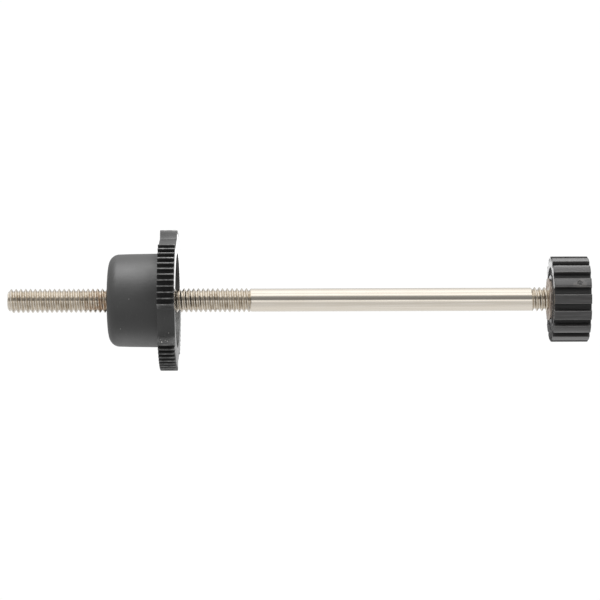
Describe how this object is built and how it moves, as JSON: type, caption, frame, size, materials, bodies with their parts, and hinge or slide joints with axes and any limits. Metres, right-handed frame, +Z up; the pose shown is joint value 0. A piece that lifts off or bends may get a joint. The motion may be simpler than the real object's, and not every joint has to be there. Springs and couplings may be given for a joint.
{
  "type": "screw and handwheel nut assembly",
  "caption": "partly threaded stud with a fluted knob fixed on one end and a lobed, knurled, cup-shaped handwheel nut that screws along the long thread",
  "frame": {"origin": "centre of the stud's flat free end face, on the screw's axis", "axes": "+X along the screw's axis from the free end to the knob, +Z up, -Y towards the viewer"},
  "size_m": [0.1532, 0.0372, 0.0372],
  "materials": {
    "stud_steel": "drawn and rolled, bright, warm nickel tint",
    "wheel_plastic": "matte charcoal moulding",
    "plated_steel": "zinc plated",
    "knob_plastic": "semi-gloss black moulding",
    "insert_brass": "turned"
  },
  "bodies": {
    "screw": {"threaded_stud": "stud_steel", "knob": "knob_plastic", "knob_insert": "insert_brass"},
    "washer": {"thrust_washer": "plated_steel"},
    "wheel": {"handwheel": "wheel_plastic", "hex_nut": "plated_steel"}
  },
  "joints": [
    {"name": "wheel_travel", "type": "slide", "parent": "screw", "child": "washer", "axis": [1, 0, 0], "range_m": [-0.02541, 0.02414]},
    {"name": "wheel_turn", "type": "hinge", "parent": "washer", "child": "wheel", "pos_m": [0.0354, 0, 0], "axis": [1, 0, 0], "range_deg": [-7200, 6840]}
  ],
  "couplings": [
    {"joint": "wheel_travel", "follows": "wheel_turn", "m_per_rad": 0.00020213}
  ]
}
